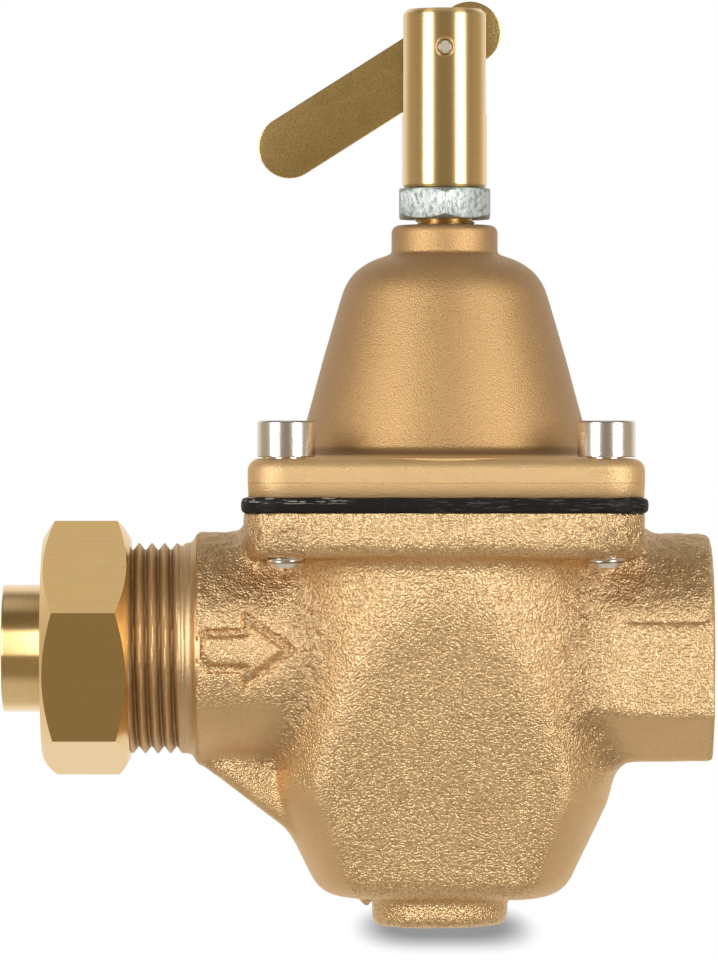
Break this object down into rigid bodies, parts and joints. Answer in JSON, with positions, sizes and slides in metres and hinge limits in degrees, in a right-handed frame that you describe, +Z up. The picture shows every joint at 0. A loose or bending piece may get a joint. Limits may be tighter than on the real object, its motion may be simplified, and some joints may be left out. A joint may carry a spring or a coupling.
{
  "type": "pressure reducing valve",
  "caption": "Bronze pressure reducing valve with a union inlet, a threaded outlet, a square bolted spring bonnet, an adjusting screw with a lock nut, and a fast-fill lever.",
  "frame": {"origin": "centre of the bottom boss's flat face, on the axis of the valve stem", "axes": "+Z up along the stem, +X along the flow towards the outlet, -Y is the front with the flow arrow"},
  "size_m": [0.1189, 0.0668, 0.1549],
  "materials": {
    "cast_bronze": "sand cast, golden, coarse",
    "satin_bronze": "satin, fine grained",
    "polished_brass": "turned and polished",
    "rolled_brass": "rolled bar, dull",
    "polished_steel": "polished",
    "zinc_plate": "zinc plated, mottled",
    "spring_steel": "drawn wire",
    "black_rubber": "moulded, matt",
    "gasket_fibre": "pressed fibre, matt"
  },
  "bodies": {
    "root": {"valve_body": "cast_bronze", "bonnet": "satin_bronze", "diaphragm": "black_rubber", "flange_screw_1": "polished_steel", "flange_screw_2": "polished_steel", "flange_screw_3": "polished_steel", "flange_screw_4": "polished_steel", "seat_ring": "polished_steel", "seat_gasket": "gasket_fibre", "strainer_screen": "polished_steel", "poppet_spring": "spring_steel"},
    "stem_assembly": {"valve_stem": "polished_steel", "fill_push_rod": "polished_steel", "diaphragm_nut": "polished_brass", "diaphragm_plate": "zinc_plate", "diaphragm_washer": "polished_brass", "seat_disc": "black_rubber", "disc_holder": "polished_brass", "disc_nut": "polished_brass"},
    "spring_loader": {"spring_button": "zinc_plate", "range_spring": "spring_steel"},
    "adjuster": {"adjusting_screw": "polished_brass", "lever_pin": "polished_steel"},
    "lock_nut": {"lock_nut": "zinc_plate"},
    "lever": {"fast_fill_lever": "rolled_brass"},
    "union_tail": {"union_tailpiece": "polished_brass", "union_gasket": "gasket_fibre"},
    "union_nut": {"union_nut": "polished_brass"}
  },
  "joints": [
    {"name": "stem_slide", "type": "slide", "parent": "root", "child": "stem_assembly", "axis": [0, 0, -1], "range_m": [0, 0.0029], "deforming": ["poppet_spring", "diaphragm"]},
    {"name": "adjuster_slide", "type": "slide", "parent": "root", "child": "spring_loader", "axis": [0, 0, 1], "range_m": [0, 0.004], "deforming": ["range_spring"]},
    {"name": "adjusting_screw_turn", "type": "hinge", "parent": "spring_loader", "child": "adjuster", "pos_m": [0, 0, 0.147], "axis": [0, 0, 1], "range_deg": [0, 1440.1]},
    {"name": "lock_nut_turn", "type": "hinge", "parent": "adjuster", "child": "lock_nut", "pos_m": [0, 0, 0.1209], "axis": [0, 0, 1], "range_deg": [-330, 0]},
    {"name": "lever_pivot", "type": "hinge", "parent": "adjuster", "child": "lever", "pos_m": [0, 0, 0.147], "axis": [0, 1, 0], "range_deg": [0, 122.4]},
    {"name": "union_slide", "type": "slide", "parent": "root", "child": "union_tail", "axis": [-1, 0, 0], "range_m": [0, 0.00635]},
    {"name": "union_nut_turn", "type": "hinge", "parent": "union_tail", "child": "union_nut", "pos_m": [-0.06, 0, 0.0465], "axis": [-1, 0, 0], "range_deg": [0, 1080.1]}
  ],
  "couplings": [
    {"joint": "lever_pivot", "follows": "stem_slide", "rad_per_m": 736.6},
    {"joint": "adjusting_screw_turn", "follows": "adjuster_slide", "rad_per_m": 6283.2},
    {"joint": "union_nut_turn", "follows": "union_slide", "rad_per_m": 2968.4}
  ]
}
